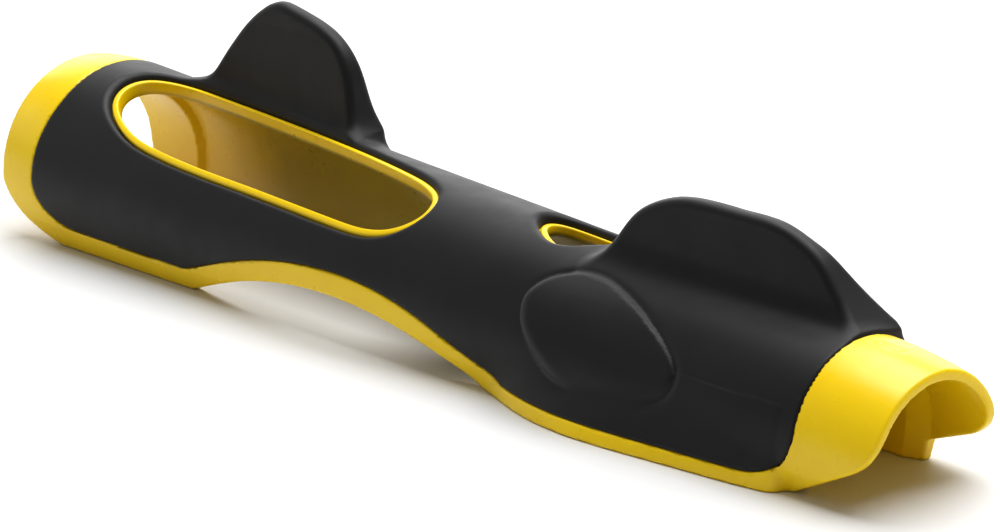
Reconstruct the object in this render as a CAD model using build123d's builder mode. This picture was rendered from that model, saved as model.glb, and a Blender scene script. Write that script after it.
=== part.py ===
from build123d import *
from math import cos, radians, sin
import os

# Clip-on hand-position trainer for a golf club grip.
# X runs along the club from the butt cap towards the head, +Z is up (away from the table),
# -Y is the trigger-finger side. The origin is on the club axis, at the butt rim.

# ---- driving dimensions, mm ----
LENGTH = 184.6          # butt rim to tip of the front tongue
AXIS_TILT = 1.2         # club axis falls towards the front, so the tapered clip stands level
AXIS_HEIGHT = 9.1       # club axis above the feet, at the butt rim
R_BUTT = 16.5           # outer radius of the rigid shell at the butt rim
R_FRONT = 12.6          # the same at the front tip
LEG_LEAN = 10.0         # legs lean in below the axis, so the clip snaps round the grip
WALL = 2.4              # shell wall where it is left bare
REAR_LAND_R = 13.6      # clamping land at the butt
REAR_LAND_LEN = 12.0
FRONT_LAND_R = 10.1     # clamping land at the front
FRONT_LAND_LEN = 14.0
FRONT_LAND_START = 156.0
RELIEF = 0.35           # channel between the lands stands clear of the grip
MOUTH_R = 11.7          # channel flares to this at the front tip
BAND_DEPTH = 0.9        # recess in the shell that the soft overmould keys into
SKIN = 1.6              # overmould stands this far above the bare shell
CRADLE_DEPTH = 22.0     # legs are drawn this far below the axis before they are trimmed
BAND_BACK = 8.0         # overmould edge at the butt
BAND_FRONT = 170.4      # overmould edge at the front
BORDER = 3.2            # bare shell border along the bottom edge
FOOT_BACK_END = 44.4    # where the rear feet end and the arch begins
ARCH_END = 110.0
ARCH_TOP = 7.1
TONGUE_START = 169.4    # where the near tongue edge leaves the table
WINDOW_ROLL = 22.0      # thumb window is rolled this far towards the trigger side
WINDOW_CENTRE = 52.3
WINDOW_LENGTH = 74.4
WINDOW_WIDTH = 17.2
PORT_ROLL = 4.0         # small sighting port
PORT_CENTRE = 116.0
PORT_LENGTH = 18.4
PORT_WIDTH = 8.6
COLLAR_WALL = 0.8       # shell collar that lines each window
COLLAR_RISE = 1.2       # how far the collar stands above the bare shell surface
FIN_THICKNESS = 3.0
MARK_DEPTH = 0.3        # plain alignment line moulded into the front tongue

FLOOR = -AXIS_HEIGHT
tilt = radians(AXIS_TILT)
AXIS = Vector(cos(tilt), 0, -sin(tilt))
UP = Vector(sin(tilt), 0, cos(tilt))


def up(height):
    """Height above the table, as a Z coordinate."""
    return FLOOR + height


def shell_radius(station):
    return R_BUTT + (R_FRONT - R_BUTT) * station / LENGTH


def across(station):
    """Plane square to the club axis, its local x towards +Y and local y upwards."""
    return Plane(origin=AXIS * station, x_dir=(0, 1, 0), z_dir=AXIS)


def rolled(station, roll):
    """Plane lying along the club axis, facing out of the barrel at a roll angle towards -Y."""
    outward = UP * cos(radians(roll)) + Vector(0, -1, 0) * sin(radians(roll))
    return Plane(origin=AXIS * station, x_dir=AXIS, z_dir=outward)


def cradle_outline(radius):
    """Cross-section: round crown with straight legs that lean in."""
    lean = radians(LEG_LEAN)
    side = (radius * cos(lean), -radius * sin(lean))
    run = (CRADLE_DEPTH - radius * sin(lean)) / cos(lean)
    foot = (side[0] - run * sin(lean), -CRADLE_DEPTH)
    with BuildSketch() as section:
        with BuildLine():
            ThreePointArc((-side[0], side[1]), (0, radius), side)
            Polyline(side, foot, (-foot[0], foot[1]), (-side[0], side[1]))
        make_face()
    return section.sketch


def cradle(start, start_radius, end, end_radius):
    """Solid cradle between two stations on the club axis."""
    with BuildPart() as body:
        if abs(start_radius - end_radius) < 1e-6:
            with BuildSketch(across(start)):
                add(cradle_outline(start_radius))
            extrude(amount=end - start)
        else:
            for station, radius in ((start, start_radius), (end, end_radius)):
                with BuildSketch(across(station)):
                    add(cradle_outline(radius))
            loft(ruled=True)
    return body.part


def full_cradle(offset):
    """Cradle over the whole length, grown by an offset from the bare shell surface."""
    return cradle(-6, shell_radius(-6) + offset, LENGTH + 6, shell_radius(LENGTH + 6) + offset)


def skirt(offset):
    """Flared foot under the trigger finger: wide at the table, blending into the barrel above."""
    foot = [(104, -12.8), (111, -14.3), (118, -16.9), (125, -18.7), (132, -19.3), (144, -18.3)]
    foot += [(155, -16.9), (163, -15.8), (169, -14.4), (176, -12.2)]
    crown = [(106, -11.6), (118, -12.7), (126, -13.2), (133, -13.3), (144, -13.1), (155, -12.7)]
    crown += [(165, -12.1), (174, -11.2)]
    with BuildPart() as body:
        for height, edge in ((-1.0, foot), (10.4, crown)):
            end = edge[-1][0] + 1.0
            with BuildSketch(Plane.XY.offset(up(height))):
                with BuildLine():
                    curve = Spline(*[(x, y - offset) for x, y in edge])
                    Polyline(curve @ 1, (end, -9.0), (edge[0][0], -9.0), curve @ 0)
                make_face()
        loft(ruled=True)
    return body.part


def window(station, roll, length, width, depth):
    """Straight-sided slot cutter for a window in the crown."""
    with BuildPart() as body:
        with BuildSketch(rolled(station, roll)):
            SlotOverall(length, width)
        extrude(amount=depth)
    return body.part


# ---- side outlines, seen square to the club ----
def shell_side(tongue_foot, step):
    """Bare shell seen from the side; the far tongue starts with a small upright step."""
    with BuildSketch() as side:
        with BuildLine():
            Polyline((LENGTH, up(11.5)), (LENGTH, up(60)), (0, up(60)), (0, up(9.5)))
            Bezier((0, up(9.5)), (0.3, up(5.5)), (6, up(1.5)), (12.5, up(0)))
            Line((12.5, up(0)), (FOOT_BACK_END, up(0)))
            Spline(
                (FOOT_BACK_END, up(0)),
                (60, up(5.2)),
                (79, up(ARCH_TOP)),
                (97, up(4.4)),
                (ARCH_END, up(0)),
            )
            Line((ARCH_END, up(0)), (tongue_foot, up(0)))
            if step:
                Line((tongue_foot, up(0)), (tongue_foot, up(step)))
            Line((tongue_foot, up(step)), (180.6, up(5.6)))
            Bezier((180.6, up(5.6)), (182.8, up(6.7)), (LENGTH, up(8.6)), (LENGTH, up(11.5)))
        make_face()
    return side.sketch


def band_side():
    """Area covered by the soft overmould, seen from the side."""
    with BuildSketch() as side:
        with BuildLine():
            Polyline((BAND_FRONT, up(8.6)), (BAND_FRONT, up(60)), (4.4, up(60)), (5.4, up(27)))
            Bezier((5.4, up(27)), (7.0, up(22)), (BAND_BACK, up(18)), (BAND_BACK, up(10.5)))
            Bezier((BAND_BACK, up(10.5)), (8.2, up(6.4)), (12, up(4.0)), (18, up(3.7)))
            Line((18, up(3.7)), (43.2, up(3.4)))
            Spline(
                (43.2, up(3.4)),
                (47, up(4.5)),
                (53, up(6.7)),
                (62.5, up(9.0)),
                (79, up(10.6)),
                (96.5, up(8.0)),
                (106, up(5.1)),
                (116, up(BORDER)),
            )
            Line((116, up(BORDER)), (163.5, up(3.0)))
            Bezier((163.5, up(3.0)), (167.5, up(3.1)), (BAND_FRONT, up(4.6)), (BAND_FRONT, up(8.6)))
        make_face()
    return side.sketch


# ---- cutting and filling bodies ----
with BuildPart() as band:
    with BuildSketch(Plane.XZ):
        add(band_side())
    extrude(amount=45, both=True)

with BuildPart() as core:
    add(full_cradle(-BAND_DEPTH))
    add(skirt(-BAND_DEPTH))

with BuildPart() as channel:
    front_land_end = FRONT_LAND_START + FRONT_LAND_LEN
    add(cradle(-6, REAR_LAND_R, REAR_LAND_LEN, REAR_LAND_R))
    add(
        cradle(
            REAR_LAND_LEN,
            shell_radius(REAR_LAND_LEN) - WALL + RELIEF / 2,
            FRONT_LAND_START,
            FRONT_LAND_R + RELIEF,
        )
    )
    add(cradle(FRONT_LAND_START, FRONT_LAND_R, front_land_end, FRONT_LAND_R))
    add(cradle(front_land_end, FRONT_LAND_R, LENGTH + 1, MOUTH_R))

# ---- rigid shell ----
with BuildPart() as clip_shell:
    # bare outside, then the recess that the overmould fills
    add(full_cradle(0))
    add(skirt(0))
    add(band.part, mode=Mode.SUBTRACT)
    with BuildPart(mode=Mode.PRIVATE) as keyed:
        add(core.part)
        add(band.part, mode=Mode.INTERSECT)
    add(keyed.part)
    # collars that line the two windows
    for station, roll, length, width in (
        (WINDOW_CENTRE, WINDOW_ROLL, WINDOW_LENGTH, WINDOW_WIDTH),
        (PORT_CENTRE, PORT_ROLL, PORT_LENGTH, PORT_WIDTH),
    ):
        with BuildPart(mode=Mode.PRIVATE) as collar:
            add(window(station, roll, length, width, 40))
            add(full_cradle(COLLAR_RISE), mode=Mode.INTERSECT)
        add(collar.part)
    # side outline: near half, then far half with the stepped foot
    with BuildPart(mode=Mode.PRIVATE) as near_half:
        with BuildSketch(Plane.XZ):
            add(shell_side(TONGUE_START, 0))
        extrude(amount=45)
    with BuildPart(mode=Mode.PRIVATE) as far_half:
        with BuildSketch(Plane.XZ):
            add(shell_side(TONGUE_START + 3.7, 2.9))
        extrude(amount=-45)
        add(near_half.part)
    add(far_half.part, mode=Mode.INTERSECT)
    # club channel and window openings
    add(channel.part, mode=Mode.SUBTRACT)
    for station, roll, length, width in (
        (WINDOW_CENTRE, WINDOW_ROLL, WINDOW_LENGTH, WINDOW_WIDTH),
        (PORT_CENTRE, PORT_ROLL, PORT_LENGTH, PORT_WIDTH),
    ):
        lip = 2 * COLLAR_WALL
        add(window(station, roll, length - lip, width - lip, 40), mode=Mode.SUBTRACT)
    # plain alignment line on top of the tongue
    with BuildSketch(across(173.4)):
        with Locations((0, shell_radius(177) + 1.0)):
            Rectangle(1.2, 2 * (1.0 + MARK_DEPTH))
    extrude(amount=7.0, mode=Mode.SUBTRACT)

clip_shell.part.label = "clip_shell"

# ---- fins ----
def fin(base, toe, outline, web, reach):
    """Upright fin: a side outline crossed with a tapering web section.

    base is the near face's start on plan, toe its turn on plan, outline the side shape as
    (distance along, height above the table), web the section as (across, height)."""
    along = Vector(cos(radians(toe)), sin(radians(toe)), 0)
    with BuildPart() as body:
        with BuildSketch(Plane(origin=(base[0], base[1], 0), x_dir=along, z_dir=(along.Y, -along.X, 0))):
            with BuildLine():
                curve = Spline(*[(d, up(h)) for d, h in outline])
                Polyline(curve @ 1, (outline[-1][0], up(9)), (outline[0][0], up(9)), curve @ 0)
            make_face()
        extrude(amount=20, both=True)
        with BuildSketch(Plane(origin=(base[0], base[1], 0), x_dir=(-along.Y, along.X, 0), z_dir=along)):
            with BuildLine():
                Polyline([(w, up(h)) for w, h in web], close=True)
            make_face()
        extrude(amount=reach, mode=Mode.INTERSECT)
    return body.part


rear_fin = fin(
    base=(23.0, 4.0),
    toe=0.0,
    outline=[
        (1.0, 25.2),
        (5.0, 28.3),
        (8.6, 32.2),
        (13.0, 37.8),
        (19.6, 41.9),
        (28.5, 40.2),
        (34.4, 37.2),
        (37.0, 32.0),
        (38.3, 27.0),
        (40.2, 24.0),
    ],
    web=[(0, 9), (0, 30), (0.8, 44), (0.8 + FIN_THICKNESS, 44), (5.0, 27), (9.0, 21), (9.0, 9)],
    reach=44,
)
front_fin = fin(
    base=(122.0, -4.6),
    toe=4.9,
    outline=[
        (1.6, 21.6),
        (3.6, 23.2),
        (6.0, 26.3),
        (9.0, 29.4),
        (13.0, 31.5),
        (19.0, 32.2),
        (28.0, 32.4),
        (36.0, 31.5),
        (41.0, 29.2),
        (44.6, 25.2),
        (49.0, 19.8),
    ],
    web=[(0, 9), (0, 24), (0.6, 33), (0.6 + FIN_THICKNESS, 33), (4.6, 27), (9.4, 20), (9.4, 9)],
    reach=52,
)

# ---- finger rest: an oval pad that stands off the barrel on the trigger side ----
pad_normal = Vector(-0.06, -0.90, 0.43).normalized()
pad_plane = Plane(origin=(121, -12.2, up(20)), x_dir=(1, 0, 0.06 / 0.43), z_dir=pad_normal)
with BuildPart() as finger_rest:
    with BuildSketch(pad_plane):
        with BuildLine():
            Spline(
                (-3.6, -3.4),
                (-3.9, -8.0),
                (1.0, -13.0),
                (9.0, -16.4),
                (18.0, -17.8),
                (26.0, -15.4),
                (30.0, -10.6),
                (28.0, -5.4),
                (18.5, 0.2),
                (8.0, 1.6),
                (0.5, 0.6),
                periodic=True,
            )
        make_face()
    extrude(amount=-9)

# ---- soft overmould ----
with BuildPart() as grip_overmould:
    add(full_cradle(SKIN))
    add(skirt(1.0))
    add(rear_fin)
    add(front_fin)
    add(finger_rest.part)
    add(band.part, mode=Mode.INTERSECT)
    add(core.part, mode=Mode.SUBTRACT)
    add(window(WINDOW_CENTRE, WINDOW_ROLL, WINDOW_LENGTH, WINDOW_WIDTH, 60), mode=Mode.SUBTRACT)
    add(window(PORT_CENTRE, PORT_ROLL, PORT_LENGTH, PORT_WIDTH, 40), mode=Mode.SUBTRACT)
grip_overmould.part.label = "grip_overmould"

os.makedirs("parts", exist_ok=True)
export_step(clip_shell.part, "parts/clip_shell.step")
export_step(grip_overmould.part, "parts/grip_overmould.step")
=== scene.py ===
"""Looks of the clip-on golf grip trainer: a moulded yellow shell and its soft black overmould."""

import math

import bpy
import numpy as np
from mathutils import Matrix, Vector


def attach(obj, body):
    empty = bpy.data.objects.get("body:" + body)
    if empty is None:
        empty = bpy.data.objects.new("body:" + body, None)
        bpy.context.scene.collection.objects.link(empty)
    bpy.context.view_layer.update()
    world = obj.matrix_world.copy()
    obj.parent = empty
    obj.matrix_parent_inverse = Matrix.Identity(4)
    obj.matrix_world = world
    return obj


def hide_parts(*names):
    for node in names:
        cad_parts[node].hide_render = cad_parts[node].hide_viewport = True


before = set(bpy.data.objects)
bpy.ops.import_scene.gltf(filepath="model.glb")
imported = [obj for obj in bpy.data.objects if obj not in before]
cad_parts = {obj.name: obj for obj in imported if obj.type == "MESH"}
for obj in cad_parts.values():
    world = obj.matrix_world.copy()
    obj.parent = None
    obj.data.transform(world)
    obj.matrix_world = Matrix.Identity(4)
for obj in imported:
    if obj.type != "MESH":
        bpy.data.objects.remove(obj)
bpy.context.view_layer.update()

MM = 0.001

# ---- the object's dimensions, mm, in the CAD's frame ----
LENGTH = 184.6
TILT = math.radians(1.2)
AXIS_HEIGHT = 9.1
R_BUTT = 16.5
R_FRONT = 12.6
LEG_LEAN = math.radians(10.0)
WALL = 1.5
REAR_LAND_R, REAR_LAND_END = 13.6, 12.0
FRONT_LAND_R, FRONT_LAND_START, FRONT_LAND_END = 10.1, 156.0, 170.0
SKIN = 1.6
REAR_TAPER, FRONT_TAPER = 9.5, 13.6
RIM_LOSS = 0.7          # share of the swell that is gone at the two rims
LEAD_IN = 3.5           # slope on each side of the front land
TIP_WALL = 1.1
FOOT_BACK_END, ARCH_END, ARCH_TOP = 44.4, 110.0, 7.1
TONGUE_START, FAR_TONGUE_START, FAR_STEP = 169.4, 173.1, 2.9
SKIRT_END = 168.6
SKIRT_LOW, SKIRT_RISE, SKIRT_FADE = -1.0, 11.4, 12.0
OVER = 60.0             # a height well above the whole part
COLLAR_WALL = 1.05
COLLAR_RADIUS = 0.32
MARK_DEPTH, MARK_HALF_WIDTH, MARK_HALF_LENGTH, MARK_MIDDLE = 0.3, 0.8, 2.6, 175.6
SKIN_LIFT = 0.06        # overmould stands this far over the shell beside it
RECESS_DEPTH = 0.35     # recess for the overmould, below the tapered shell
OVERMOULD_DEPTH = 0.5   # underside of the overmould, below the tapered shell
REST_ORIGIN = (121.0, -12.2, 20.0)
REST_DEPTH = 8.0
GROOVE_DEPTH = 0.3
NORMAL_REACH = 0.1
SHELL_STEP, OVERMOULD_STEP = 0.54, 0.5


# ---- curves ----
def spline(points, count=120, closed=False):
    """Smooth curve through the points: a natural or periodic cubic on chord length."""
    p = np.array(points, float)
    if closed:
        p = np.vstack([p[-3:], p, p[:4]])
    t = np.concatenate([[0], np.cumsum(np.hypot(*np.diff(p, axis=0).T))])
    n = len(p)
    h = np.diff(t)
    a = np.zeros((n, n))
    b = np.zeros((n, 2))
    a[0, 0] = a[-1, -1] = 1
    for i in range(1, n - 1):
        a[i, i - 1:i + 2] = h[i - 1], 2 * (h[i - 1] + h[i]), h[i]
        b[i] = 6 * ((p[i + 1] - p[i]) / h[i] - (p[i] - p[i - 1]) / h[i - 1])
    m = np.linalg.solve(a, b)
    first, last = (t[3], t[-4]) if closed else (t[0], t[-1])
    at = np.linspace(first, last, count)
    k = np.clip(np.searchsorted(t, at, "right") - 1, 0, n - 2)
    u, v, hk = (at - t[k])[:, None], (t[k + 1] - at)[:, None], h[k][:, None]
    return (
        (m[k] * v ** 3 + m[k + 1] * u ** 3) / (6 * hk)
        + (p[k] / hk - m[k] * hk / 6) * v
        + (p[k + 1] / hk - m[k + 1] * hk / 6) * u
    )


def bezier(a, b, c, d, count=40):
    """Cubic Bezier curve from a to d."""
    t = np.linspace(0, 1, count)[:, None]
    a, b, c, d = (np.array(q, float) for q in (a, b, c, d))
    return (1 - t) ** 3 * a + 3 * (1 - t) ** 2 * t * b + 3 * (1 - t) * t ** 2 * c + t ** 3 * d


def shell_edge(tongue_foot, step):
    """Lower edge of the shell on one side: x and height above the table."""
    return np.vstack([
        bezier((0, 9.5), (0.3, 5.5), (6, 1.5), (12.5, 0)),
        spline([(FOOT_BACK_END, 0), (60, 5.2), (79, ARCH_TOP), (97, 4.4), (ARCH_END, 0)]),
        [(tongue_foot, 0), (tongue_foot + 0.02, step), (180.6, 5.6)],
        bezier((180.6, 5.6), (182.8, 6.7), (LENGTH, 8.6), (LENGTH, 11.5))[1:],
    ])


def band_outline():
    """Side outline of the area that the overmould covers."""
    return np.vstack([
        [(9.3, OVER), (9.3, 26)],
        bezier((9.3, 26), (9.3, 21), (8.0, 17), (8.0, 11.0))[1:],
        bezier((8.0, 11.0), (8.0, 6.8), (11.8, 3.7), (18.5, 3.6))[1:],
        spline([
            (43.4, 3.4), (47, 4.5), (52.7, 6.5), (62.5, 9.2), (79, 10.8),
            (96.5, 8.3), (106, 5.0), (114.5, 2.2),
        ]),
        bezier((161.5, 2.1), (167.0, 2.1), (170.5, 4.4), (170.7, 9.5)),
        [(171.4, OVER)],
    ])


# ---- shape functions; x along the club, y across, w above the club axis, h above the table ----
def radius(x):
    return R_BUTT + (R_FRONT - R_BUTT) * x / LENGTH


def bore(x):
    """Radius of the club channel: a land at each end, the plain wall between them."""
    rear_wall = REAR_LAND_END + 1.0
    front_wall = FRONT_LAND_START - LEAD_IN
    tongue_wall = FRONT_LAND_END + LEAD_IN
    stops = (0.0, REAR_LAND_END, rear_wall, front_wall)
    sizes = (REAR_LAND_R, REAR_LAND_R, radius(rear_wall) - WALL, radius(front_wall) - WALL)
    stops += (FRONT_LAND_START, FRONT_LAND_END, tongue_wall, LENGTH)
    sizes += (FRONT_LAND_R, FRONT_LAND_R, radius(tongue_wall) - WALL, R_FRONT - TIP_WALL)
    return np.interp(x, stops, sizes)


def axis_drop(x):
    return x * math.tan(TILT)


def cradle(y, w, r):
    """Distance from the cradle section of radius r: round crown, legs that lean in."""
    side = np.abs(y) * math.cos(LEG_LEAN) - w * math.sin(LEG_LEAN)
    return np.where(w < -math.tan(LEG_LEAN) * np.abs(y), side, np.hypot(y, w)) - r


def swell(x, y, w, h):
    """How far the outside stands off the tapered shell: most on the crown, none at the foot."""
    rear = 1 - RIM_LOSS * np.clip(1 - x / REAR_TAPER, 0, 1) ** 2
    front = 1 - RIM_LOSS * np.clip(1 - (LENGTH - x) / FRONT_TAPER, 0, 1) ** 2
    crown = 0.5 + 0.5 * w / np.maximum(np.hypot(y, w), 1e-6)
    return SKIN * crown * rear * front * np.clip(h / 3.5, 0, 1)


SKIRT_FOOT = spline([
    (104, 12.8), (111, 14.3), (118, 16.9), (125, 18.7), (132, 19.3),
    (144, 18.3), (155, 16.9), (163, 15.8), (168.6, 14.6), (176, 12.2),
])
SKIRT_CROWN = spline([
    (106, 12.0), (118, 13.2), (126, 13.8), (133, 13.9),
    (144, 13.7), (155, 13.4), (163, 13.0), (174, 12.0),
])


def skirt(x, y, h, grow=0.0):
    """Distance from the flared foot under the trigger finger, which fades out above the crease."""
    foot = np.interp(x, *SKIRT_FOOT.T, left=8, right=8)
    crown = np.interp(x, *SKIRT_CROWN.T, left=8, right=8)
    rise = np.clip((h - SKIRT_LOW) / SKIRT_RISE, 0, None) ** 1.3
    reach = foot + (crown - foot) * rise - 4 * np.maximum(h - SKIRT_FADE, 0)
    face = np.where(y < -4, (-y - reach - grow) * 0.85, 9.0)
    return round_max(face, x - SKIRT_END, 2.0)


def smooth_min(a, b, k):
    """Union of two solids, blended where their distances differ by less than k."""
    t = np.maximum(k - np.abs(a - b), 0) / k
    return np.minimum(a, b) - t * t * k / 4


def round_max(a, b, r):
    """Intersection of two solids with its edge rounded to radius r."""
    return np.minimum(np.maximum(a, b), -r) + np.hypot(np.maximum(a + r, 0), np.maximum(b + r, 0))


class Outline:
    """Signed distance from a closed outline, tabulated once and read back by interpolation."""

    def __init__(self, points, margin=12.0, step=0.25):
        p = np.asarray(points, float)
        self.low = p.min(0) - margin
        self.step = step
        shape = np.ceil((p.max(0) + margin - self.low) / step).astype(int) + 1
        gx, gy = np.meshgrid(*(self.low[i] + step * np.arange(shape[i]) for i in (0, 1)), indexing="ij")
        best = np.full(gx.shape, 1e9)
        inside = np.zeros(gx.shape, bool)
        for (ax, ay), (bx, by) in zip(p, np.roll(p, -1, axis=0)):
            dx, dy = bx - ax, by - ay
            size = dx * dx + dy * dy
            if size < 1e-12:
                continue
            t = np.clip(((gx - ax) * dx + (gy - ay) * dy) / size, 0, 1)
            best = np.minimum(best, (gx - ax - t * dx) ** 2 + (gy - ay - t * dy) ** 2)
            if dy:
                crosses = ((ay > gy) != (by > gy)) & (gx < ax + dx * (gy - ay) / dy)
                inside ^= crosses
        self.table = np.sqrt(best) * np.where(inside, -1, 1)

    def __call__(self, x, y):
        n, m = self.table.shape
        u = np.clip((x - self.low[0]) / self.step, 0, n - 1.001)
        v = np.clip((y - self.low[1]) / self.step, 0, m - 1.001)
        i, j = u.astype(int), v.astype(int)
        u, v = u - i, v - j
        t = self.table
        near = t[i, j] * (1 - u) + t[i + 1, j] * u
        far = t[i, j + 1] * (1 - u) + t[i + 1, j + 1] * u
        return near * (1 - v) + far * v


BAND = Outline(band_outline(), margin=4)
TOP_EDGE = [(LENGTH, OVER), (0, OVER)]
NEAR_SIDE = Outline(np.vstack([shell_edge(TONGUE_START, 0), TOP_EDGE]), margin=4)
FAR_SIDE = Outline(np.vstack([shell_edge(FAR_TONGUE_START, FAR_STEP), TOP_EDGE]), margin=4)


class Window:
    """Opening in the crown, drawn in a plane that is rolled towards the trigger side."""

    def __init__(self, roll, collar_rise, points):
        self.roll, self.collar_rise = math.radians(roll), collar_rise
        self.line = spline(points, count=200, closed=True)[:-1]
        self.outline = Outline(self.line, margin=6)

    def __call__(self, x, y, w):
        b = y * math.cos(self.roll) + w * math.sin(self.roll)
        d = self.outline(x / math.cos(TILT), b)
        return np.where(w * math.cos(self.roll) - y * math.sin(self.roll) > 0, d, 9.0)

    def inset(self, gap):
        """The outline moved inwards by the gap."""
        p = self.line
        along = np.roll(p, -1, axis=0) - np.roll(p, 1, axis=0)
        along /= np.linalg.norm(along, axis=1, keepdims=True)
        turn = np.cross(p - p.mean(0), along).sum()
        inward = np.stack([-along[:, 1], along[:, 0]], 1) * (1 if turn > 0 else -1)
        return p + inward * gap

    def lift(self, ring, rise):
        """Points of the ring placed on the crown, rise above the tapered shell."""
        s, b = ring.T
        along = np.array([math.cos(TILT), 0, -math.sin(TILT)])
        up = np.array([math.sin(TILT), 0, math.cos(TILT)])
        side = np.array([0, math.cos(self.roll), 0]) + up * math.sin(self.roll)
        out = np.array([0, -math.sin(self.roll), 0]) + up * math.cos(self.roll)
        reach = np.sqrt((radius(s) + rise) ** 2 - b ** 2)
        return s[:, None] * along + b[:, None] * side + reach[:, None] * out


WINDOWS = (
    Window(22.0, 0.8, [
        (34, -8.0), (56, -8.2), (76, -8.2), (83.5, -7.6), (88.3, -5.4), (90.4, -2.0),
        (89.4, 1.6), (85.5, 4.3), (78, 6.1), (64, 7.7), (46, 8.7), (31, 8.9),
        (22, 8.0), (17.4, 5.2), (16.4, 1.4), (17.8, -2.2), (21.7, -5.2), (27.2, -7.2),
    ]),
    Window(0.0, 0.2, [
        (106.3, 1.8), (107.6, -0.8), (110.2, -2.7), (113.6, -4.0), (116.8, -3.7), (119.4, -2.0),
        (121.8, 0.6), (122.4, 3.2), (119.6, 5.3), (114, 5.9), (109.3, 5.6), (106.9, 4.2),
    ]),
)


# ---- fins and finger rest ----
REAR_FIN = Outline(np.vstack([
    spline([
        (0.5, 25.4), (3.9, 27.6), (6.2, 30.4), (9.4, 34.4), (12.4, 37.6), (15.8, 40.2), (18.9, 41.6),
        (22.8, 41.3), (28.4, 40.1), (32.6, 38.3), (35.1, 35.8), (36.6, 32.3), (37.6, 28.0), (39.5, 24.5),
    ]),
    [(39.5, 9), (0.5, 9)],
]))
FRONT_FIN = Outline(np.vstack([
    spline([
        (0.6, 20.5), (2.6, 22.6), (4.8, 25.6), (7.6, 29.0), (11.6, 31.4), (15.2, 32.5), (19.0, 32.9),
        (27.0, 32.8), (33.5, 32.4), (37.2, 31.2), (40.6, 29.2), (43.0, 26.5), (45.2, 23.8), (49.6, 19.2),
    ]),
    [(49.6, 9), (0.6, 9)],
]))
REST = Outline(spline([
    (-4.3, -3.4), (-4.1, -5.9), (-2.9, -8.8), (-0.5, -11.8), (2.3, -14.4), (5.6, -16.8), (10.2, -18.3),
    (14.5, -18.5), (18.3, -17.6), (21.7, -15.8), (24.6, -13.6), (25.3, -11.2), (23.8, -8.7),
    (20.6, -6.0), (15.9, -3.0), (11.3, -0.7), (6.6, 0.9), (1.6, 0.9), (-2.6, -0.9),
], count=240, closed=True))


def fin(outline, base, toe, web, flare, x, y, h):
    """Upright fin: its side outline crossed with a web whose near face sweeps out at the foot.

    The web gives the top and foot thickness, the heights between them and the lean. The flare gives how far
    the foot sweeps out, from what height, and how that height falls along the fin."""
    top, foot, low, high, lean = web
    spread, start, fall = flare
    u = (x - base[0]) * math.cos(toe) + (y - base[1]) * math.sin(toe)
    q = (y - base[1]) * math.cos(toe) - (x - base[0]) * math.sin(toe)
    rise = np.clip((h - low) / (high - low), 0, 1)
    sweep = np.clip((start - fall * u - h) / 6.0, 0, 1.3)
    near = lean * rise - spread * sweep ** 2
    thick = top + (foot - top) * (1 - rise) ** 1.2
    slab = np.maximum((near - q) * 0.85, q - lean * rise - thick)
    return round_max(outline(u, h), slab, 1.15)


def grip_body(x, y, w, h):
    """Barrel and flared foot with the oval finger rest raised out of them.

    The face of the rest is a piece of a barrel whose axis drifts away from the club towards the butt. It is
    rolled over along the lower rear edge, and a fine groove runs round the front."""
    n = Vector((-0.06, -0.90, 0.43)).normalized()
    ax = (Vector((1, 0, 0.06 / 0.43))).normalized()
    ay = n.cross(ax)
    p = [c - o for c, o in zip((x, y, h), REST_ORIGIN)]
    u, v, out = (sum(c * k for c, k in zip(p, axis)) for axis in (ax, ay, n))
    edge = np.maximum(REST(u, v), np.abs(out) - REST_DEPTH)
    t = np.clip((0.51 * (3.6 - u) + 0.86 * (1.4 - v)) / 9, 0, 1)
    lift = t * t * (3 - 2 * t)
    drift = (x - 112) / 38
    proud = 1.1 + 0.28 * drift - 0.3 * (1 - lift)
    face = np.hypot(y + 2.85 * (1 - drift), w - 0.23 * drift) - radius(x) - proud
    pad = round_max(edge, face, 0.35 + 2.3 * lift)
    groove = GROOVE_DEPTH * (1 - lift) * np.exp(-((edge - 0.2) / 0.7) ** 2)
    return smooth_min(envelope(x, y, w, h) + groove, pad, 0.5)


def envelope(x, y, w, h):
    """Distance from the outside that shell and overmould share."""
    barrel = cradle(y, w, radius(x) + swell(x, y, w, h))
    return smooth_min(barrel, skirt(x, y, h), 0.9)


def base_shape(x, y, w, h, depth):
    """Distance from the surface under the overmould, depth below the tapered shell."""
    return np.minimum(cradle(y, w, radius(x) - depth), skirt(x, y, h, -depth - 0.6))


def overmould(x, y, z):
    """Signed distance from the soft overmould."""
    h = z + AXIS_HEIGHT
    w = z + axis_drop(x)
    body = grip_body(x, y, w, h) - SKIN_LIFT
    rear = fin(REAR_FIN, (23.0, 4.0), 0.0, (3.0, 6.0, 25, 38, 0.8), (1.0, 29.0, 0.0), x, y, h)
    toe = math.radians(4.9)
    front = fin(FRONT_FIN, (122.0, -4.6), toe, (3.0, 9.0, 20, 31, 0.6), (3.4, 25.6, 0.035), x, y, h)
    body = smooth_min(body, rear, 2.6)
    body = smooth_min(body, front, 1.6)
    solid = round_max(body, BAND(x, h), 0.35)
    for window in WINDOWS:
        solid = round_max(solid, 0.05 - window(x, y, w), 1.3)
    return np.maximum(solid, -base_shape(x, y, w, h, OVERMOULD_DEPTH))


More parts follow.
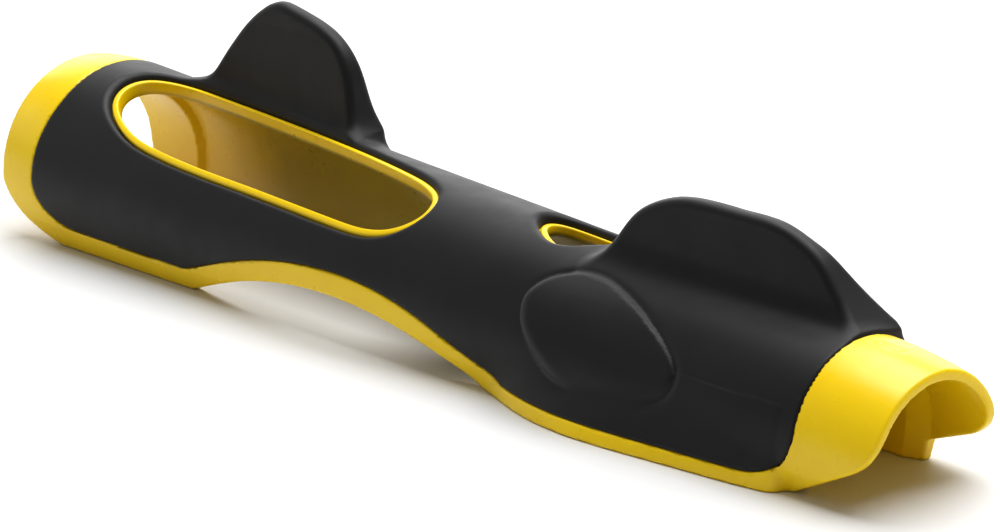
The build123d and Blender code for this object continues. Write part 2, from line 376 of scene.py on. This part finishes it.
def rigid(x, y, z):
    """Signed distance from the rigid shell, recessed where the overmould lies."""
    h = z + AXIS_HEIGHT
    w = z + axis_drop(x)
    side = np.where(y < 0, NEAR_SIDE(x, h), FAR_SIDE(x, h))
    across = np.clip(1 - (y / MARK_HALF_WIDTH) ** 2, 0, 1)
    along = np.clip((MARK_HALF_LENGTH - np.abs(x - MARK_MIDDLE)) / 0.5, 0, 1)
    mark = MARK_DEPTH * across * along * (h > 15)
    solid = round_max(envelope(x, y, w, h) + mark, side, 0.4)
    recess = np.maximum(BAND(x, h), -base_shape(x, y, w, h, RECESS_DEPTH))
    hole = 9.0
    for window in WINDOWS:
        hole = np.minimum(hole, window(x, y, w))
    solid = round_max(solid, -recess, 0.25)
    solid = np.maximum(solid, -(hole + COLLAR_WALL - 0.3))
    return round_max(solid, -cradle(y, w, bore(x)), 0.35)


# ---- turning a distance function into a mesh ----
def surface_net(f, low, high, step):
    """Points and quads on the zero level of f, with the points pulled onto it."""
    axes = [np.arange(a, b + step, step) for a, b in zip(low, high)]
    gx, gy, gz = np.meshgrid(*axes, indexing="ij")
    d = f(gx.ravel(), gy.ravel(), gz.ravel()).reshape(gx.shape)
    neg = d < 0
    corners = [(i, j, k) for i in (0, 1) for j in (0, 1) for k in (0, 1)]
    n = [s - 1 for s in d.shape]

    def part(a, c):
        return a[c[0]:c[0] + n[0], c[1]:c[1] + n[1], c[2]:c[2] + n[2]]

    count = sum(part(neg, c).astype(np.int8) for c in corners)
    cells = np.argwhere((count > 0) & (count < 8))
    index = -np.ones(count.shape, np.int64)
    index[tuple(cells.T)] = np.arange(len(cells))
    total = np.zeros((len(cells), 3))
    hits = np.zeros(len(cells))
    for a in corners:
        for axis in range(3):
            if a[axis]:
                continue
            b = list(a)
            b[axis] = 1
            da = d[tuple((cells + a).T)]
            db = d[tuple((cells + b).T)]
            cut = (da < 0) != (db < 0)
            t = np.where(cut, da / np.where(cut, da - db, 1), 0)
            place = (cells + a).astype(float)
            place[:, axis] += t
            total[cut] += place[cut]
            hits[cut] += 1
    v = np.array(low) + step * total / hits[:, None]
    quads = []
    for axis in range(3):
        other = [i for i in range(3) if i != axis]
        lo = [slice(None)] * 3
        hi = [slice(None)] * 3
        lo[axis], hi[axis] = slice(0, -1), slice(1, None)
        a, b = neg[tuple(lo)], neg[tuple(hi)]
        for flag in (True, False):
            where = np.argwhere((a == flag) & (b != flag))
            ok = np.all((where[:, other] > 0) & (where[:, other] < np.array(n)[other]), axis=1)
            where = where[ok]
            ring = []
            for du, dv in ((1, 1), (0, 1), (0, 0), (1, 0)):
                c = where.copy()
                c[:, other[0]] -= du
                c[:, other[1]] -= dv
                ring.append(index[tuple(c.T)])
            quad = np.stack(ring, 1)
            if flag != (axis != 1):
                quad = quad[:, ::-1]
            quads.append(quad)
    quads = np.vstack(quads)
    for _ in range(3):
        g, value = gradient(f, v)
        v -= g * np.clip(value, -0.4 * step, 0.4 * step)[:, None]
    return v, quads


def gradient(f, v, e=0.04):
    """Unit gradient of f at the points, and how far each lies from the zero level."""
    x, y, z = v.T
    g = np.stack([
        f(x + e, y, z) - f(x - e, y, z),
        f(x, y + e, z) - f(x, y - e, z),
        f(x, y, z + e) - f(x, y, z - e),
    ], 1)
    size = np.linalg.norm(g, axis=1, keepdims=True)
    return g / np.maximum(size, 1e-9), f(x, y, z) / np.maximum(size[:, 0] / (2 * e), 0.3)


def mesh_object(name, vertices, faces):
    """Mesh object from millimetre vertices."""
    mesh = bpy.data.meshes.new(name)
    mesh.from_pydata((np.asarray(vertices) * MM).tolist(), [], [list(f) for f in faces])
    mesh.validate()
    mesh.update()
    obj = bpy.data.objects.new(name, mesh)
    bpy.context.scene.collection.objects.link(obj)
    return obj


def smooth_by_function(obj, f):
    """Smooth shading from the distance function's own gradient."""
    mesh = obj.data
    v = np.empty(len(mesh.vertices) * 3)
    mesh.vertices.foreach_get("co", v)
    v = v.reshape(-1, 3) / MM
    normals, _ = gradient(f, v, NORMAL_REACH)
    mesh.polygons.foreach_set("use_smooth", np.ones(len(mesh.polygons), bool))
    mesh.normals_split_custom_set_from_vertices(normals.tolist())


def build_from(name, f, low, high, step):
    """Object on the zero level of f inside a box, shaded by its gradient."""
    obj = mesh_object(name, *surface_net(f, low, high, step))
    smooth_by_function(obj, f)
    return obj


def collar(window):
    """Rounded lip of the shell round a window: a profile run round the outline on the crown."""
    r = COLLAR_RADIUS
    top = window.collar_rise
    profile = [(0.0, -1.2)]
    for centre, start in ((r, 180), (COLLAR_WALL - r, 90)):
        for turn in np.radians(np.linspace(start, start - 90, 5)):
            profile.append((centre + r * math.cos(turn), top - r + r * math.sin(turn)))
    profile += [(COLLAR_WALL, 0.2 - WALL), (COLLAR_WALL - 0.12, 0.04 - WALL), (0.15, 0.04 - WALL)]
    rings = [window.lift(window.inset(gap), rise) for gap, rise in profile]
    n, m = len(rings[0]), len(rings)
    faces = []
    for i in range(m):
        for j in range(n):
            k = (j + 1) % n
            a, b = i * n, ((i + 1) % m) * n
            faces.append((a + j, a + k, b + k, b + j))
    return mesh_object("collar", np.vstack(rings), faces)


def shade(obj, angle):
    """Smooth shading that keeps the edges sharper than the angle."""
    mesh = obj.data
    mesh.polygons.foreach_set("use_smooth", np.ones(len(mesh.polygons), bool))
    mesh.set_sharp_from_angle(angle=math.radians(angle))


def join(first, others):
    for o in bpy.context.selected_objects:
        o.select_set(False)
    for o in [first, *others]:
        o.select_set(True)
    bpy.context.view_layer.objects.active = first
    bpy.ops.object.join()
    return first


# ---- materials ----
def material(name):
    m = bpy.data.materials.new(name)
    m.use_nodes = True
    nodes = m.node_tree.nodes
    return m, m.node_tree, nodes["Principled BSDF"]


def noise(tree, scale, detail=4.0, rough=0.55):
    coords = tree.nodes.new("ShaderNodeTexCoord")
    tex = tree.nodes.new("ShaderNodeTexNoise")
    tex.inputs["Scale"].default_value = scale
    tex.inputs["Detail"].default_value = detail
    tex.inputs["Roughness"].default_value = rough
    tree.links.new(coords.outputs["Object"], tex.inputs["Vector"])
    return tex.outputs["Fac"]


def remap(tree, value, low, high, a=0.3, b=0.7):
    m = tree.nodes.new("ShaderNodeMapRange")
    m.inputs["From Min"].default_value = a
    m.inputs["From Max"].default_value = b
    m.inputs["To Min"].default_value = low
    m.inputs["To Max"].default_value = high
    tree.links.new(value, m.inputs["Value"])
    return m.outputs["Result"]


def blend_colour(tree, value, first, second):
    ramp = tree.nodes.new("ShaderNodeValToRGB")
    ramp.color_ramp.elements[0].position = 0.3
    ramp.color_ramp.elements[1].position = 0.7
    ramp.color_ramp.elements[0].color = (*first, 1)
    ramp.color_ramp.elements[1].color = (*second, 1)
    tree.links.new(value, ramp.inputs["Fac"])
    return ramp.outputs["Color"]


def bump(tree, shader, height, strength, distance):
    b = tree.nodes.new("ShaderNodeBump")
    b.inputs["Strength"].default_value = strength
    b.inputs["Distance"].default_value = distance
    tree.links.new(height, b.inputs["Height"])
    tree.links.new(b.outputs["Normal"], shader.inputs["Normal"])


def calculate(tree, operation, a, b):
    """One arithmetic step on sockets or plain numbers."""
    node = tree.nodes.new("ShaderNodeMath")
    node.operation = operation
    for socket, value in zip(node.inputs, (a, b)):
        if isinstance(value, (int, float)):
            socket.default_value = value
        else:
            tree.links.new(value, socket)
    return node.outputs[0]


def channel_shade_share(tree):
    """1 on the wall of the club channel, 0 on the outside, fading out towards both ends. The darker colour it
    mixes in is
    painted shade, a guess: it brings the tone inside the window down, and stands for no known wear or finish."""
    coords = tree.nodes.new("ShaderNodeTexCoord")
    split = tree.nodes.new("ShaderNodeSeparateXYZ")
    tree.links.new(coords.outputs["Object"], split.inputs[0])
    x, y, z = split.outputs
    w = calculate(tree, "ADD", z, calculate(tree, "MULTIPLY", x, math.tan(TILT)))
    square = calculate(tree, "ADD", calculate(tree, "POWER", y, 2), calculate(tree, "POWER", w, 2))
    out = calculate(tree, "SQRT", square, 0)
    taper = calculate(tree, "MULTIPLY", x, (R_FRONT - R_BUTT) / LENGTH)
    wall = calculate(tree, "ADD", taper, (R_BUTT - 0.9) * MM)
    inside = remap(tree, calculate(tree, "SUBTRACT", wall, out), 0, 1, -0.0002, 0.0002)
    behind = remap(tree, x, 0, 1, 0.012, 0.034)
    ahead = remap(tree, x, 1, 0, 0.140, 0.156)
    return calculate(tree, "MULTIPLY", calculate(tree, "MULTIPLY", inside, behind), ahead)


def shell_plastic():
    m, tree, shader = material("shell_plastic")
    outside = blend_colour(tree, noise(tree, 60, 3), (0.93, 0.63, 0.002), (0.98, 0.69, 0.004))
    # channel colour: painted shade, a darker yellow for the inside of the club channel, which lies in shade
    channel = blend_colour(tree, noise(tree, 60, 3), (0.36, 0.27, 0.030), (0.42, 0.31, 0.036))
    mix = tree.nodes.new("ShaderNodeMix")
    mix.data_type = "RGBA"
    tree.links.new(channel_shade_share(tree), mix.inputs["Factor"])
    colour_sockets = [socket for socket in mix.inputs if socket.type == "RGBA"]
    for colour, socket in zip((outside, channel), colour_sockets):
        tree.links.new(colour, socket)
    tree.links.new(mix.outputs[2], shader.inputs["Base Color"])
    tree.links.new(remap(tree, noise(tree, 420, 6), 0.26, 0.36), shader.inputs["Roughness"])
    shader.inputs["IOR"].default_value = 1.5
    bump(tree, shader, noise(tree, 900, 2), 0.03, 0.00004)
    return m


def soft_rubber():
    m, tree, shader = material("soft_rubber")
    colour = blend_colour(tree, noise(tree, 45, 4), (0.0105, 0.0105, 0.011), (0.0150, 0.0150, 0.0157))
    tree.links.new(colour, shader.inputs["Base Color"])
    tree.links.new(remap(tree, noise(tree, 260, 6), 0.44, 0.54), shader.inputs["Roughness"])
    shader.inputs["IOR"].default_value = 1.48
    shader.inputs["Specular IOR Level"].default_value = 0.3
    shader.inputs["Sheen Weight"].default_value = 0.08
    shader.inputs["Sheen Roughness"].default_value = 0.5
    bump(tree, shader, noise(tree, 2600, 3, 0.7), 0.12, 0.00006)
    return m


# ---- stage ----
def light(name, place, target, size, energy):
    data = bpy.data.lights.new(name, "AREA")
    data.shape = "RECTANGLE"
    data.size, data.size_y = size
    data.energy = energy
    obj = bpy.data.objects.new(name, data)
    obj.location = place
    obj.rotation_euler = (Vector(target) - Vector(place)).to_track_quat("-Z", "Y").to_euler()
    obj.visible_camera = False
    bpy.context.scene.collection.objects.link(obj)


def build_stage():
    """Plain pale floor, an even world and three soft boxes."""
    floor_z = -AXIS_HEIGHT * MM
    mesh = bpy.data.meshes.new("floor")
    s = 6.0
    corners = [(-s, -s, floor_z), (s, -s, floor_z), (s, s, floor_z), (-s, s, floor_z)]
    mesh.from_pydata(corners, [], [(0, 1, 2, 3)])
    floor = bpy.data.objects.new("floor", mesh)
    bpy.context.scene.collection.objects.link(floor)
    m, _, shader = material("floor_paint")
    shader.inputs["Base Color"].default_value = (0.72, 0.72, 0.72, 1)
    shader.inputs["Roughness"].default_value = 0.6
    mesh.materials.append(m)

    world = bpy.data.worlds.new("studio")
    world.use_nodes = True
    world.node_tree.nodes["Background"].inputs["Color"].default_value = (1, 1, 1, 1)
    world.node_tree.nodes["Background"].inputs["Strength"].default_value = 0.23
    bpy.context.scene.world = world
    bpy.context.scene.view_settings.view_transform = "Standard"
    bpy.context.scene.view_settings.look = "Medium High Contrast"
    middle = (LENGTH / 2 * MM, 0.0, 0.0)
    light("top_softbox", (0.05, 0.30, 0.95), middle, (1.1, 0.9), 15)
    light("back_softbox", (-0.75, 0.85, 0.42), middle, (1.5, 0.7), 6)
    light("left_softbox", (-1.00, -0.55, 0.40), middle, (0.8, 0.5), 0.8)


def build_camera():
    """Long lens from the trigger side and front, a little above the object."""
    turn, rise, distance = math.radians(42.64), math.radians(17.74), 0.700
    across = Vector((math.cos(turn), -math.sin(turn), 0))
    back = across * math.cos(rise) + Vector((0, 0, math.sin(rise)))
    target = Vector((LENGTH / 2 * MM, 0, (8.0 - AXIS_HEIGHT) * MM))
    data = bpy.data.cameras.new("camera")
    data.sensor_width = 36.0
    data.lens = 170.15
    data.shift_x = 0.0284
    data.shift_y = 0.0245
    data.clip_start = 0.01
    obj = bpy.data.objects.new("camera", data)
    obj.location = target + back * distance
    obj.rotation_euler = (-back).to_track_quat("-Z", "Y").to_euler()
    bpy.context.scene.collection.objects.link(obj)
    bpy.context.scene.camera = obj


# ---- build ----
rigid_shell = build_from("rigid_shell", rigid, (-0.8, -20.0, -9.9), (185.4, 19.2, 19.2), SHELL_STEP)
collars = [collar(w) for w in WINDOWS]
for c in collars:
    shade(c, 60)
rigid_shell = join(rigid_shell, collars)
rigid_shell.data.materials.clear()
rigid_shell.data.materials.append(shell_plastic())
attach(rigid_shell, "root")
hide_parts("clip_shell")

soft = build_from("soft_overmould", overmould, (6.5, -22.5, -8.2), (172.5, 19.5, 34.6), OVERMOULD_STEP)
soft.data.materials.append(soft_rubber())
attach(soft, "root")
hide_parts("grip_overmould")

build_stage()
build_camera()
